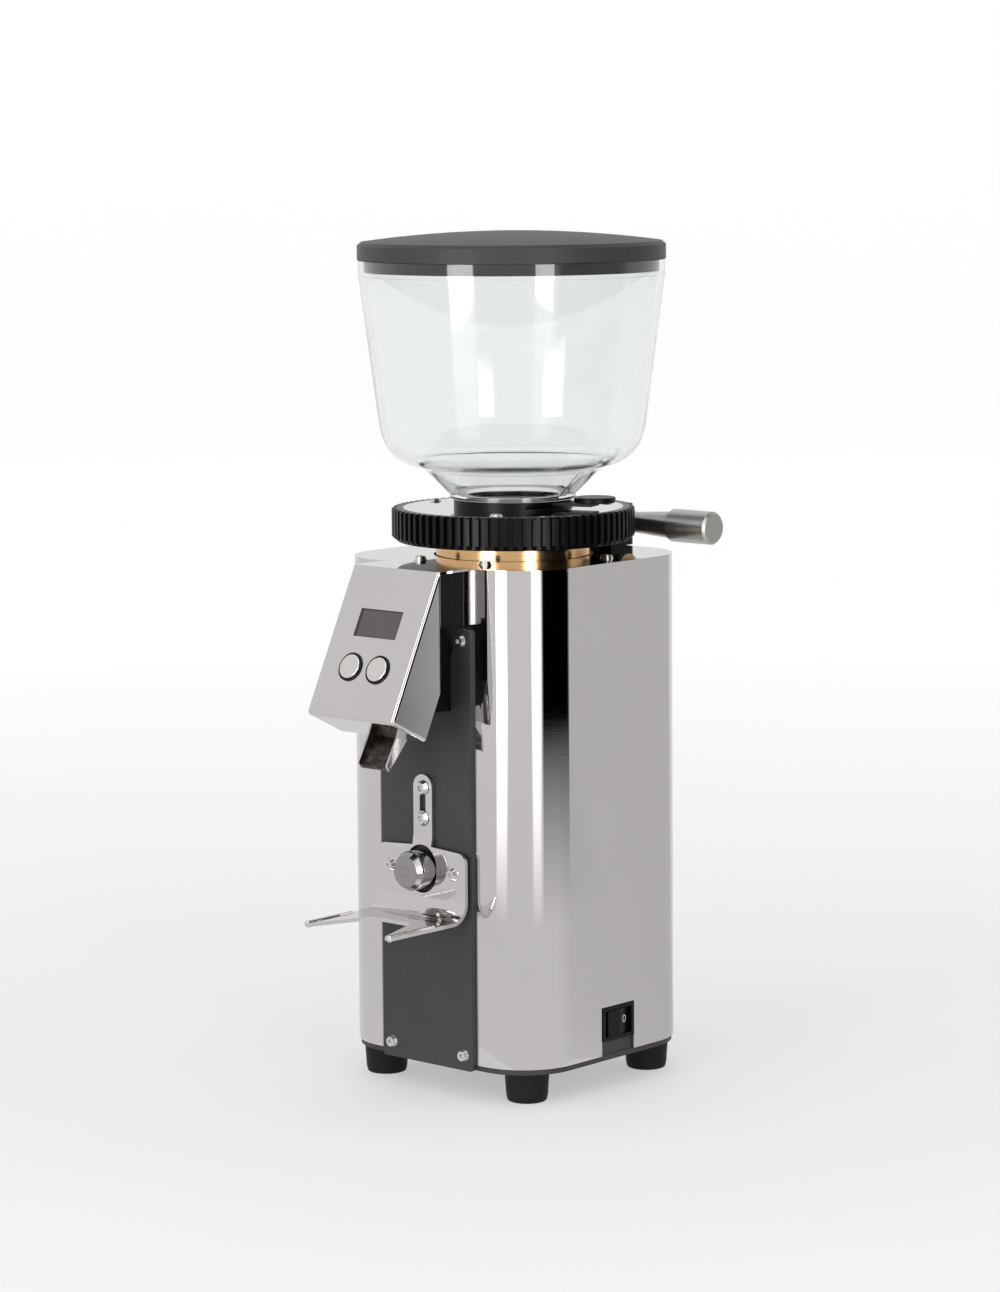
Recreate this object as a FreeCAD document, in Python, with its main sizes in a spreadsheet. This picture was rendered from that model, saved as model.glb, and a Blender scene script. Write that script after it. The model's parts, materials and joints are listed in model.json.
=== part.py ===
import FreeCAD, Part
import math
import os

import Sketcher

# Burr coffee grinder, millimetres, +Z up.  The design axes stand on the burr axis, with the front
# of the machine towards -Y and the floor at Z = 0.  Every sub-part is placed with frame_shift along
# Y, which puts the origin of the finished part at the bottom centre of its bounding box.

os.makedirs("parts", exist_ok=True)
doc = FreeCAD.newDocument("coffee_grinder")
sheet = doc.addObject("Spreadsheet::Sheet", "Sizes")


# ---------------------------------------------------------------------------------------------
# Sizes that stay tied to the sheet
# ---------------------------------------------------------------------------------------------
class Size:
    """A number that remembers the sheet expression it comes from."""

    def __init__(self, number, text):
        self.number = number
        self.text = text

    def join(self, other, sign, number):
        return Size(number, f"({self.text} {sign} {other.text})")

    def __add__(self, other):
        other = as_size(other)
        return self.join(other, "+", self.number + other.number)

    def __sub__(self, other):
        other = as_size(other)
        return self.join(other, "-", self.number - other.number)

    def __mul__(self, other):
        other = as_size(other)
        return self.join(other, "*", self.number * other.number)

    def __truediv__(self, other):
        other = as_size(other)
        return self.join(other, "/", self.number / other.number)

    def __radd__(self, other):
        return as_size(other) + self

    def __rsub__(self, other):
        return as_size(other) - self

    def __rmul__(self, other):
        return as_size(other) * self

    def __neg__(self):
        return Size(-self.number, f"(0 - {self.text})")


def as_size(value):
    return value if isinstance(value, Size) else Size(float(value), f"({float(value)})")


def sine(angle):
    return Size(math.sin(math.radians(angle.number)), f"sin({angle.text} * 1 deg)")


def cosine(angle):
    return Size(math.cos(math.radians(angle.number)), f"cos({angle.text} * 1 deg)")


sheet_rows = []


def size(name, number):
    """Write one driving size into the sheet and return it."""
    sheet_rows.append(name)
    row = len(sheet_rows)
    sheet.set(f"A{row}", name)
    sheet.set(f"B{row}", str(number))
    sheet.setAlias(f"B{row}", name)
    return Size(float(number), f"Sizes.{name}")


# Clearances
fit_gap = size("fit_gap", 0.3)                  # between pieces that move past each other
running_gap = size("running_gap", 0.05)         # radial, shaft in bush or bearing
hole_gap = size("hole_gap", 0.2)                # radial, screw in its hole

# Casing
casing_width = size("casing_width", 140)
casing_depth = size("casing_depth", 136.2)
casing_corner = size("casing_corner", 32)
casing_height = size("casing_height", 257.8)
casing_wall = size("casing_wall", 1.2)
foot_height = size("foot_height", 16)
foot_radius = size("foot_radius", 11.8)
foot_across = size("foot_across", 50.3)         # foot centre from the middle, along X
foot_along = size("foot_along", 48.4)           # and along Y
base_thickness = size("base_thickness", 3)
deck_thickness = size("deck_thickness", 2)
opening_half = size("opening_half", 34.4)       # half width of the casing's front opening
panel_half = size("panel_half", 32)
panel_thickness = size("panel_thickness", 2)
panel_overhang = size("panel_overhang", 3.5)    # how far the panel hangs below the casing
panel_drop = size("panel_drop", 31.8)           # top of the panel below the deck
screw_radius = size("screw_radius", 1.9)
screw_head_radius = size("screw_head_radius", 3.5)
screw_head_height = size("screw_head_height", 2.1)

base_bottom = foot_height
casing_bottom = base_bottom + base_thickness
casing_top = casing_bottom + casing_height
deck_top = casing_top + deck_thickness
half_width = casing_width / 2
half_depth = casing_depth / 2
front = -half_depth                             # outer face of the casing's front
front_inside = front + casing_wall
panel_face = front - panel_thickness
panel_bottom = casing_bottom - panel_overhang
panel_head = deck_top - panel_drop

# Motor and burrs, all on the burr axis
motor_radius = size("motor_radius", 45)
motor_clearance = size("motor_clearance", 33)   # motor above the casing's lower edge
chamber_depth = size("chamber_depth", 72.8)     # floor of the grinding chamber below the casing's top
motor_wall = size("motor_wall", 3)
shaft_radius = size("shaft_radius", 6)
bearing_radius = size("bearing_radius", 16)
bearing_height = size("bearing_height", 10)
air_gap = size("air_gap", 0.5)
rotor_radius = size("rotor_radius", 25.5)
plate_thickness = size("plate_thickness", 14)
burr_radius = size("burr_radius", 32)
burr_bore = size("burr_bore", 17)
burr_thickness = size("burr_thickness", 8)
burr_gap = size("burr_gap", 0.6)
carrier_radius = size("carrier_radius", 36)
carrier_height = size("carrier_height", 12)
chamber_radius = size("chamber_radius", 50)
collar_radius = size("collar_radius", 41.2)     # threaded brass carrier of the upper burr
throat_radius = size("throat_radius", 25)       # bore that the beans fall through

motor_bottom = casing_bottom + motor_clearance
chamber_bottom = casing_top - chamber_depth
motor_top = chamber_bottom - plate_thickness
carrier_bottom = chamber_bottom + 10
lower_burr_bottom = carrier_bottom + carrier_height
upper_burr_bottom = lower_burr_bottom + burr_thickness + burr_gap
upper_burr_top = upper_burr_bottom + burr_thickness

# Grind adjustment ring and its worm
ring_radius = size("ring_radius", 64.6)
ring_height = size("ring_height", 17.4)
ring_lift = size("ring_lift", 7.7)              # gap between the deck and the ring
ring_teeth = size("ring_teeth", 80)
tooth_depth = size("tooth_depth", 2.5)
worm_engage = size("worm_engage", 1.3)          # how deep the worm thread enters the ring's teeth
worm_core = size("worm_core", 5.0)
worm_half_length = size("worm_half_length", 15)
worm_drop = size("worm_drop", 12.4)             # worm axis below the top of the ring
knob_radius = size("knob_radius", 8.85)
knob_length = size("knob_length", 27.5)
knob_start = size("knob_start", 53)
worm_housing_half = size("worm_housing_half", 21)

ring_bottom = deck_top + ring_lift
ring_top = ring_bottom + ring_height
worm_height = ring_top - worm_drop
worm_outer = worm_core + 1.7
worm_axis = ring_radius + worm_outer - worm_engage
worm_pitch = (ring_radius - worm_engage / 2) * (2 * math.pi) / ring_teeth

# Hopper, gate and lid
hopper_wall = size("hopper_wall", 2.5)
hopper_rim = size("hopper_rim", 81.2)
hopper_belly = size("hopper_belly", 68.4)       # radius where the side turns into the rounded base
hopper_height = size("hopper_height", 126.2)    # from the hopper's seat to its rim
hopper_seat = size("hopper_seat", 5)            # height of the black collar under the hopper
seat_radius = size("seat_radius", 31.5)
gate_thickness = size("gate_thickness", 2)
gate_angle = size("gate_angle", 18.8)           # direction of the gate's handle, from +X to +Y
gate_reach = size("gate_reach", 46.8)
gate_pad_radius = size("gate_pad_radius", 11)
lid_radius = size("lid_radius", 81.7)
lid_rim_height = size("lid_rim_height", 7.6)
lid_dome = size("lid_dome", 7.2)
lid_wall = size("lid_wall", 2.6)

hopper_bottom = ring_top + hopper_seat
hopper_top = hopper_bottom + hopper_height
lid_bottom = hopper_top + fit_gap

# Head with the display
head_half = size("head_half", 30.5)
head_tilt = size("head_tilt", 26.06)
head_face = size("head_face", 82.4)
head_depth = size("head_depth", 27.3)
head_reach = size("head_reach", 22.9)           # top edge of the head in front of the casing
head_wall = size("head_wall", 1.2)
neck_half = size("neck_half", 18)
neck_joint = size("neck_joint", 8.7)            # depth of the neck above the front panel
neck_drop = size("neck_drop", 74.5)             # underside of the neck below the deck
display_half = size("display_half", 14.8)
display_drop = size("display_drop", 23)
display_height = size("display_height", 15.3)
key_spread = size("key_spread", 9.6)
key_drop = size("key_drop", 55)
key_radius = size("key_radius", 6.5)
bezel_radius = size("bezel_radius", 7.7)
key_travel = size("key_travel", 1)
spout_half = size("spout_half", 10.5)
spout_wall = size("spout_wall", 1.2)

head_edge = front - head_reach                  # Y of the head's top front edge
head_top = deck_top
neck_floor = deck_top - neck_drop

# Fork and start button
fork_half = size("fork_half", 31)
fork_thickness = size("fork_thickness", 2)
fork_top = size("fork_top", 111.2)              # above the casing's lower edge
fork_level = size("fork_level", 77)             # top of the prongs above the casing's lower edge
fork_reach = size("fork_reach", 62.4)           # prong tips in front of the casing
tongue_half = size("tongue_half", 6.6)
tongue_top = size("tongue_top", 150.1)          # above the casing's lower edge
fork_bend = size("fork_bend", 9)
tongue_screw_low = size("tongue_screw_low", 127)
tongue_screw_gap = size("tongue_screw_gap", 16)
fork_travel = size("fork_travel", 2)
start_height = size("start_height", 100.5)      # button axis above the casing's lower edge
start_radius = size("start_radius", 10.4)
start_length = size("start_length", 12.2)       # how far the button stands out of the fork plate
start_travel = size("start_travel", 3)

# Mains switch and inlet
rocker_center = size("rocker_center", 1.8)      # Y of the switch on the right-hand side
rocker_height = size("rocker_height", 16.5)     # middle of the switch above the casing's lower edge
rocker_half = size("rocker_half", 9.6)
rocker_half_height = size("rocker_half_height", 6.7)
rocker_tilt = size("rocker_tilt", 8)
notch_half = size("notch_half", 12.9)
notch_height = size("notch_height", 25.7)
inlet_half = size("inlet_half", 13.5)
inlet_half_height = size("inlet_half_height", 10)
inlet_height = size("inlet_height", 18)         # middle of the inlet above the casing's lower edge

# The part's box reaches from the tips of the fork to the back of the lid.
fork_tip = front - fork_reach
frame_shift = (-fork_tip - lid_radius) / 2


# ---------------------------------------------------------------------------------------------
# Building blocks
# ---------------------------------------------------------------------------------------------
def bind(item, prop, value):
    """Set a property to a number, or tie it to the sheet."""
    if isinstance(value, Size):
        item.setExpression(prop, value.text)
    else:
        setattr(item, prop, value)


def place(item, x=0, y=0, z=0, axis=None, angle=0):
    """Put an item at (x, y, z), turned about an axis, with each coordinate tied to the sheet."""
    x, y, z, angle = as_size(x), as_size(y), as_size(z), as_size(angle)
    base = FreeCAD.Vector(x.number, y.number, z.number)
    turn = FreeCAD.Rotation(FreeCAD.Vector(*(axis or (0, 0, 1))), angle.number)
    item.Placement = FreeCAD.Placement(base, turn)
    for name, value in (("x", x), ("y", y), ("z", z)):
        item.setExpression(f"Placement.Base.{name}", value.text)
    if "Sizes." in angle.text:
        item.setExpression("Placement.Rotation.Angle", angle.text)
    return item


sub_parts = []


def finish(label, item, x=0, y=0, z=0, axis=None, angle=0):
    """Name a sub-part and give it its place in the part's frame."""
    item.Label = label
    place(item, x, y + frame_shift, z, axis, angle)
    sub_parts.append(item)
    return item


def box(x0, x1, y0, y1, z0, z1):
    item = doc.addObject("Part::Box", "box")
    bind(item, "Length", as_size(x1) - x0)
    bind(item, "Width", as_size(y1) - y0)
    bind(item, "Height", as_size(z1) - z0)
    return place(item, x0, y0, z0)


AXIS_TURNS = {"Z": (None, 0), "X": ((0, 1, 0), 90), "Y": ((1, 0, 0), -90)}


def rod(radius, start, end, across=0, along=0, direction="Z"):
    """A cylinder from start to end along X, Y or Z; across and along are its other coordinates."""
    item = doc.addObject("Part::Cylinder", "rod")
    bind(item, "Radius", radius)
    bind(item, "Height", as_size(end) - start)
    base = {"Z": (across, along, start), "X": (start, across, along), "Y": (across, start, along)}
    axis, angle = AXIS_TURNS[direction]
    return place(item, *base[direction], axis, angle)


def cone(radius_start, radius_end, start, end, across=0, along=0, direction="Z"):
    item = doc.addObject("Part::Cone", "cone")
    bind(item, "Radius1", radius_start)
    bind(item, "Radius2", radius_end)
    bind(item, "Height", as_size(end) - start)
    base = {"Z": (across, along, start), "X": (start, across, along), "Y": (across, start, along)}
    axis, angle = AXIS_TURNS[direction]
    return place(item, *base[direction], axis, angle)


def fuse(*items):
    item = doc.addObject("Part::MultiFuse", "fusion")
    item.Shapes = list(items)
    return item


def group(*items):
    """Separate solids that share one node."""
    item = doc.addObject("Part::Compound", "group")
    item.Links = list(items)
    return item


def cut(base, *tools):
    item = doc.addObject("Part::Cut", "cut")
    item.Base = base
    item.Tool = tools[0] if len(tools) == 1 else fuse(*tools)
    return item


def overlap(first, second):
    item = doc.addObject("Part::Common", "overlap")
    item.Base, item.Tool = first, second
    return item


def new_body():
    return doc.addObject("PartDesign::Body", "body")


def new_sketch(body, plane, offset):
    """A sketch on one of the body's own origin planes, moved along the plane's normal."""
    support = [item for item in body.Origin.OriginFeatures if item.Role == plane + "_Plane"][0]
    sketch = body.newObject("Sketcher::SketchObject", "sketch")
    sketch.AttachmentSupport = [(support, "")]
    sketch.MapMode = "FlatFace"
    offset = as_size(offset)
    sketch.AttachmentOffset = FreeCAD.Placement(FreeCAD.Vector(0, 0, offset.number), FreeCAD.Rotation())
    sketch.setExpression("AttachmentOffset.Base.z", offset.text)
    return sketch


def tie_point(sketch, geometry, position, x, y):
    """Hold a point of the sketch at (x, y) from the sketch's origin."""
    for kind, value in (("DistanceX", as_size(x)), ("DistanceY", as_size(y))):
        constraint = Sketcher.Constraint(kind, -1, 1, geometry, position, value.number)
        index = sketch.addConstraint(constraint)
        sketch.setExpression(f"Constraints[{index}]", value.text)


def draw_circle(sketch, x, y, radius):
    x, y, radius = as_size(x), as_size(y), as_size(radius)
    center = FreeCAD.Vector(x.number, y.number, 0)
    circle = sketch.addGeometry(Part.Circle(center, FreeCAD.Vector(0, 0, 1), radius.number), False)
    index = sketch.addConstraint(Sketcher.Constraint("Radius", circle, radius.number))
    sketch.setExpression(f"Constraints[{index}]", radius.text)
    tie_point(sketch, circle, 3, x, y)


def corner_geometry(before, corner, after, radius):
    """Ends, centre and turn of the arc that rounds a corner."""
    to_before = (before - corner).normalize()
    to_after = (after - corner).normalize()
    half_angle = to_before.getAngle(to_after) / 2
    reach = radius / math.tan(half_angle)
    middle = (to_before + to_after).normalize()
    center = corner + middle * (radius / math.sin(half_angle))
    turns_left = (corner - before).cross(after - corner).z > 0
    return corner + to_before * reach, corner + to_after * reach, center, turns_left


def draw_outline(sketch, points):
    """A closed outline through points (x, y) or (x, y, corner radius)."""
    corners = [[as_size(value) for value in point] for point in points]
    places = [FreeCAD.Vector(corner[0].number, corner[1].number, 0) for corner in corners]
    count = len(corners)
    arrivals, departures, arcs = list(places), list(places), {}
    for number, corner in enumerate(corners):
        if len(corner) > 2:
            ends = corner_geometry(places[number - 1], places[number],
                                   places[(number + 1) % count], corner[2].number)
            arrivals[number], departures[number] = ends[0], ends[1]
            arcs[number] = ends[2:]
    lines = []
    for number in range(count):
        line = Part.LineSegment(departures[number], arrivals[(number + 1) % count])
        lines.append(sketch.addGeometry(line, False))
    for number, corner in enumerate(corners):
        line_in, line_out = lines[number - 1], lines[number]
        if number not in arcs:
            sketch.addConstraint(Sketcher.Constraint("Coincident", line_in, 2, line_out, 1))
            tie_point(sketch, line_out, 1, corner[0], corner[1])
            continue
        center, turns_left = arcs[number]
        ends = (arrivals[number], departures[number])
        ends = ends if turns_left else ends[::-1]
        angles = [math.atan2(end.y - center.y, end.x - center.x) for end in ends]
        circle = Part.Circle(center, FreeCAD.Vector(0, 0, 1), corner[2].number)
        arc = sketch.addGeometry(Part.ArcOfCircle(circle, *angles), False)
        point = sketch.addGeometry(Part.Point(places[number]), True)
        arrival, departure = (1, 2) if turns_left else (2, 1)
        tie_point(sketch, point, 1, corner[0], corner[1])
        sketch.addConstraint(Sketcher.Constraint("PointOnObject", point, 1, line_in))
        sketch.addConstraint(Sketcher.Constraint("PointOnObject", point, 1, line_out))
        sketch.addConstraint(Sketcher.Constraint("Tangent", line_in, 2, arc, arrival))
        sketch.addConstraint(Sketcher.Constraint("Tangent", line_out, 1, arc, departure))
        index = sketch.addConstraint(Sketcher.Constraint("Radius", arc, corner[2].number))
        sketch.setExpression(f"Constraints[{index}]", corner[2].text)


def rectangle(x0, x1, y0, y1, corner=None):
    points = [(x0, y0), (x1, y0), (x1, y1), (x0, y1)]
    return points if corner is None else [point + (corner,) for point in points]


def extrude(body, plane, points, start, length, circle=None):
    """Pad an outline from start, along the plane's normal."""
    sketch = new_sketch(body, plane, start)
    if circle:
        draw_circle(sketch, *circle)
    else:
        draw_outline(sketch, points)
    pad = body.newObject("PartDesign::Pad", "pad")
    pad.Profile = sketch
    bind(pad, "Length", as_size(length))
    return pad


def carve(body, plane, points, start, length, circle=None):
    """Cut an outline out of the body, from start along the plane's normal."""
    doc.recompute()
    before = body.Shape.Volume
    sketch = new_sketch(body, plane, as_size(start) + length)
    if circle:
        draw_circle(sketch, *circle)
    else:
        draw_outline(sketch, points)
    pocket = body.newObject("PartDesign::Pocket", "pocket")
    pocket.Profile = sketch
    bind(pocket, "Length", as_size(length))
    doc.recompute()
    if body.Shape.Volume >= before:
        raise RuntimeError("a pocket removed nothing from " + body.Name)
    return pocket


def revolve(points):
    """A body turned about Z from an outline of (radius, height) points."""
    body = new_body()
    sketch = new_sketch(body, "XZ", 0)
    draw_outline(sketch, points)
    turned = body.newObject("PartDesign::Revolution", "revolution")
    turned.Profile = sketch
    turned.ReferenceAxis = (sketch, ["V_Axis"])
    turned.Angle = 360
    return body


def tube(outer, inner, bottom, top):
    """A ring or tube on the burr axis."""
    return revolve([(inner, bottom), (outer, bottom), (outer, top), (inner, top)])


def round_edges(body, radius, chosen):
    """Fillet the edges of the body's tip whose middle passes the test."""
    doc.recompute()
    tip = body.Tip
    names = []
    for number, edge in enumerate(tip.Shape.Edges, 1):
        middle = edge.valueAt((edge.FirstParameter + edge.LastParameter) / 2)
        if chosen(edge, middle):
            names.append(f"Edge{number}")
    fillet = body.newObject("PartDesign::Fillet", "fillet")
    fillet.Base = (tip, names)
    bind(fillet, "Radius", as_size(radius))
    return fillet


def near(value, target):
    return abs(value - as_size(target).number) < 0.01


def button_screw(radius, head_radius, head_height, length):
    """A button-head screw with a hexagon socket, head up, seated at Z = 0."""
    crown = head_radius * 0.72
    head = cone(head_radius, crown, 0, head_height)
    shank = rod(radius, -length, 0)
    socket = doc.addObject("Part::Prism", "socket")
    socket.Polygon = 6
    bind(socket, "Circumradius", head_radius * 0.42)
    bind(socket, "Height", as_size(head_height))
    place(socket, 0, 0, head_height * 0.4)
    return cut(fuse(head, shank), socket)


def screw_group(label, spots, length, axis=None, angle=0, radius=screw_radius,
                head_radius=screw_head_radius, head_height=screw_head_height):
    """One node of equal screws, each seated at its spot."""
    screws = []
    for x, y, z in spots:
        screw = button_screw(radius, head_radius, head_height, length)
        screws.append(place(screw, x, y, z, axis, angle))
    return finish(label, group(*screws))


FRONT_AXIS, FRONT_ANGLE = (1, 0, 0), 90         # turns +Z towards the front, -Y
SIDE_AXIS, SIDE_ANGLE = (0, 1, 0), 90           # turns +Z towards +X

four_corners = [(1, -1), (-1, -1), (1, 1), (-1, 1)]


# ---------------------------------------------------------------------------------------------
# Base, feet and casing
# ---------------------------------------------------------------------------------------------
foot_screw_radius = screw_radius
foot_counterbore = screw_head_radius + 1.2

for name, (side, end) in zip(("front_right", "front_left", "rear_right", "rear_left"), four_corners):
    foot = revolve([(foot_screw_radius + hole_gap, 6), (foot_counterbore, 6), (foot_counterbore, 0),
                    (foot_radius - 1.6, 0, 1.2), (foot_radius - 0.9, 3),
                    (foot_radius, foot_height), (foot_screw_radius + hole_gap, foot_height)])
    finish("foot_" + name, foot, foot_across * side, foot_along * end, 0)

screw_group("foot_screws", [(foot_across * side, foot_along * end, 6) for side, end in four_corners],
            foot_height - 6 + base_thickness, (1, 0, 0), 180)

# Black base plate, with a tab that stands behind the switch's notch in the casing.
base_inset = casing_wall - 0.2
tab_outside = half_width - casing_wall - 0.3
base = new_body()
extrude(base, "XY", rectangle(-half_width + base_inset, half_width - base_inset,
                              -half_depth + base_inset, half_depth - base_inset,
                              casing_corner - base_inset), base_bottom, base_thickness)
extrude(base, "XY", rectangle(tab_outside - 2, tab_outside, rocker_center - notch_half - 2,
                              rocker_center + notch_half + 2), casing_bottom, notch_height + 4)
switch_middle = casing_bottom + rocker_height
switch_hole_half = rocker_half + 2.2
switch_hole_height = rocker_half_height + 1.9
carve(base, "YZ", rectangle(rocker_center - switch_hole_half - fit_gap,
                            rocker_center + switch_hole_half + fit_gap,
                            switch_middle - switch_hole_height - fit_gap,
                            switch_middle + switch_hole_height + fit_gap), tab_outside - 3, 4)
post_across = size("post_across", 46)
post_along = size("post_along", 44)
for side, end in four_corners:
    carve(base, "XY", None, base_bottom - 1, base_thickness + 2,
          (foot_across * side, foot_along * end, foot_screw_radius + hole_gap))
finish("base_plate", base)

# Wrap-around casing: one polished sheet, open at the front, notched for the switch.
shell = new_body()
extrude(shell, "XY", rectangle(-half_width, half_width, -half_depth, half_depth, casing_corner),
        casing_bottom, casing_height)
carve(shell, "XY", rectangle(-half_width + casing_wall, half_width - casing_wall,
                             -half_depth + casing_wall, half_depth - casing_wall,
                             casing_corner - casing_wall), casing_bottom - 1, casing_height + 2)
carve(shell, "XY", rectangle(-opening_half, opening_half, front - 5, front_inside + 2),
      casing_bottom - 1, casing_height + 2)
carve(shell, "XY", rectangle(half_width - 3, half_width + 3, rocker_center - notch_half,
                             rocker_center + notch_half), casing_bottom - 1, notch_height + 1)
inlet_middle = casing_bottom + inlet_height
carve(shell, "XZ", rectangle(-inlet_half - fit_gap, inlet_half + fit_gap,
                             inlet_middle - inlet_half_height - fit_gap,
                             inlet_middle + inlet_half_height + fit_gap), -half_depth - 2, 6)
finish("shell", shell)

# Polished front plate that closes the casing's opening behind the dark panel.
start_axis = casing_bottom + start_height
duct_half = size("duct_half", 11)
duct_height = size("duct_height", 20)
duct_bottom = chamber_bottom + 9
start_sleeve_radius = size("start_sleeve_radius", 8)


sleeve_hole = (0, start_axis, start_sleeve_radius + running_gap)
tongue_low = casing_bottom + tongue_screw_low
tongue_high = tongue_low + tongue_screw_gap
tongue_spots = [(0, panel_face, tongue_low), (0, panel_face, tongue_high)]
panel_spots = [(25.5 * side, panel_face, casing_bottom + z) for side in (-1, 1) for z in (4.4, 222)]

front_plate = new_body()
extrude(front_plate, "XZ", rectangle(-opening_half + 0.2, opening_half - 0.2, casing_bottom, casing_top),
        -front_inside, casing_wall)
carve(front_plate, "XZ", rectangle(-duct_half, duct_half, duct_bottom, duct_bottom + duct_height),
      -front_inside - 1, casing_wall + 2)
carve(front_plate, "XZ", None, -front_inside - 1, casing_wall + 2, sleeve_hole)
for x, y, z in tongue_spots + panel_spots:
    carve(front_plate, "XZ", None, -front_inside - 1, casing_wall + 2, (x, z, screw_radius + hole_gap))
finish("front_plate", front_plate)

# Dark front panel with two ears beside the neck.
ear_inner = size("ear_inner", 23.6)
notch_inner = size("notch_inner", 11.7)
ear_drop = size("ear_drop", 29)                 # height of the slanted side of the notch
panel = new_body()
notch_low = neck_floor - 0.6
extrude(panel, "XZ", [(-panel_half, panel_bottom, 2), (panel_half, panel_bottom, 2),
                      (panel_half, panel_head, 2), (ear_inner, panel_head, 2),
                      (neck_half + 0.4, panel_head - ear_drop * 0.5),
                      (neck_half + 0.4, notch_low), (-neck_half - 0.4, notch_low),
                      (-neck_half - 0.4, panel_head - ear_drop * 0.5),
                      (-ear_inner, panel_head, 2), (-panel_half, panel_head, 2)],
        -front, panel_thickness)
carve(panel, "XZ", None, -front - 1, panel_thickness + 2, sleeve_hole)
for x, y, z in tongue_spots + panel_spots:
    carve(panel, "XZ", None, -front - 1, panel_thickness + 2, (x, z, screw_radius + hole_gap))
finish("front_panel", panel)
screw_group("panel_screws", panel_spots, panel_thickness + casing_wall + 4, FRONT_AXIS, FRONT_ANGLE)

# Polished deck on top of the casing, with the bore for the brass collar.
deck_bore = collar_radius + 1.3
deck_screw_ring = size("deck_screw_ring", 57)
housing_screw_across = size("housing_screw_across", 16)
housing_screw_along = ring_radius - 4.5
housing_seat = ring_bottom - 3.4
housing_spots = [(housing_screw_across * side, housing_screw_along, housing_seat) for side in (-1, 1)]


def around(distance, angle, level):
    """A spot at a distance and an angle round the upright axis."""
    return distance * math.cos(math.radians(angle)), distance * math.sin(math.radians(angle)), level


deck_spots = [around(deck_screw_ring, angle, deck_top) for angle in (-107, -63, 11, 169, 135)]
deck = new_body()
extrude(deck, "XY", rectangle(-half_width, half_width, -half_depth, half_depth, casing_corner),
        casing_top, deck_thickness)
carve(deck, "XY", None, casing_top - 1, deck_thickness + 2, (0, 0, deck_bore))
for x, y, z in deck_spots + housing_spots:
    carve(deck, "XY", None, casing_top - 1, deck_thickness + 2, (x, y, screw_radius + hole_gap))
finish("deck", deck)
screw_group("deck_screws", deck_spots + housing_spots, deck_thickness + 5)

# ---------------------------------------------------------------------------------------------
# Motor
# ---------------------------------------------------------------------------------------------
motor_inside = motor_radius - motor_wall
lower_seat = motor_bottom + motor_wall
can = revolve([(bearing_radius, lower_seat), (bearing_radius, lower_seat + bearing_height),
               (bearing_radius + 3, lower_seat + bearing_height), (bearing_radius + 3, lower_seat + 2),
               (motor_inside, lower_seat + 2), (motor_inside, motor_top), (motor_radius, motor_top),
               (motor_radius, motor_bottom, 3), (shaft_radius + 3, motor_bottom),
               (shaft_radius + 3, lower_seat)])
finish("motor_can", can)
stator_bottom = motor_bottom + 26
stator_top = motor_top - 22
winding_height = size("winding_height", 9)
finish("stator", fuse(tube(motor_inside, rotor_radius + air_gap, stator_bottom, stator_top),
                      tube(motor_inside - 4, rotor_radius + 4,
                           stator_bottom - winding_height, stator_bottom + 1),
                      tube(motor_inside - 4, rotor_radius + 4, stator_top - 1, stator_top + winding_height)))
finish("rotor", tube(rotor_radius, shaft_radius, stator_bottom, stator_top))
shaft_top = carrier_bottom + carrier_height - 2
finish("motor_shaft", revolve([(0, lower_seat + 1), (shaft_radius, lower_seat + 1),
                               (shaft_radius, shaft_top), (0, shaft_top)]))
bearing_bore = shaft_radius + running_gap
upper_bearing_bottom = motor_top + 2
finish("motor_bearings", group(tube(bearing_radius, bearing_bore, lower_seat, lower_seat + bearing_height),
                               tube(bearing_radius, bearing_bore, upper_bearing_bottom,
                                    upper_bearing_bottom + bearing_height)))

# Cast plate that carries the motor below and the grinding chamber above.
plate_half = size("plate_half", 56)
plate = new_body()
extrude(plate, "XY", rectangle(-plate_half, plate_half, -plate_half, plate_half, 20),
        motor_top, plate_thickness)
carve(plate, "XY", None, upper_bearing_bottom, plate_thickness, (0, 0, bearing_radius))
carve(plate, "XY", None, motor_top - 1, 4, (0, 0, shaft_radius + 3))
for side, end in four_corners:
    carve(plate, "XY", None, motor_top - 1, plate_thickness + 2,
          (post_across * side, post_along * end, screw_radius + hole_gap))
finish("motor_plate", plate)
post_radius = size("post_radius", 5)
posts = [rod(post_radius, casing_bottom, motor_top, post_across * side, post_along * end)
         for side, end in four_corners]
finish("motor_posts", group(*posts))

# ---------------------------------------------------------------------------------------------
# Grinding chamber and burrs
# ---------------------------------------------------------------------------------------------
chamber_bore = carrier_radius + 2
thread_bore = collar_radius + fit_gap
thread_low = upper_burr_bottom + 2
chamber_flange = size("chamber_flange", 60)
flange_height = size("flange_height", 6)
chamber_outline = [(bearing_bore + 2, chamber_bottom), (chamber_radius, chamber_bottom),
                   (chamber_radius, casing_top - flange_height), (chamber_flange, casing_top - flange_height),
                   (chamber_flange, casing_top), (thread_bore, casing_top), (thread_bore, thread_low),
                   (chamber_bore, thread_low), (chamber_bore, chamber_bottom + 8),
                   (bearing_bore + 2, chamber_bottom + 8)]
chamber = revolve(chamber_outline)
duct_inside_half = duct_half - 1.5
duct_low = duct_bottom + 1.5
duct_high = duct_bottom + duct_height - 1.5
carve(chamber, "XZ", rectangle(-duct_inside_half, duct_inside_half, duct_low, duct_high), 20, 40)
for x, y, z in deck_spots:
    carve(chamber, "XY", None, casing_top - flange_height - 1, flange_height + 2,
          (x, y, screw_radius + hole_gap))
finish("grinding_chamber", chamber)

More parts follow.
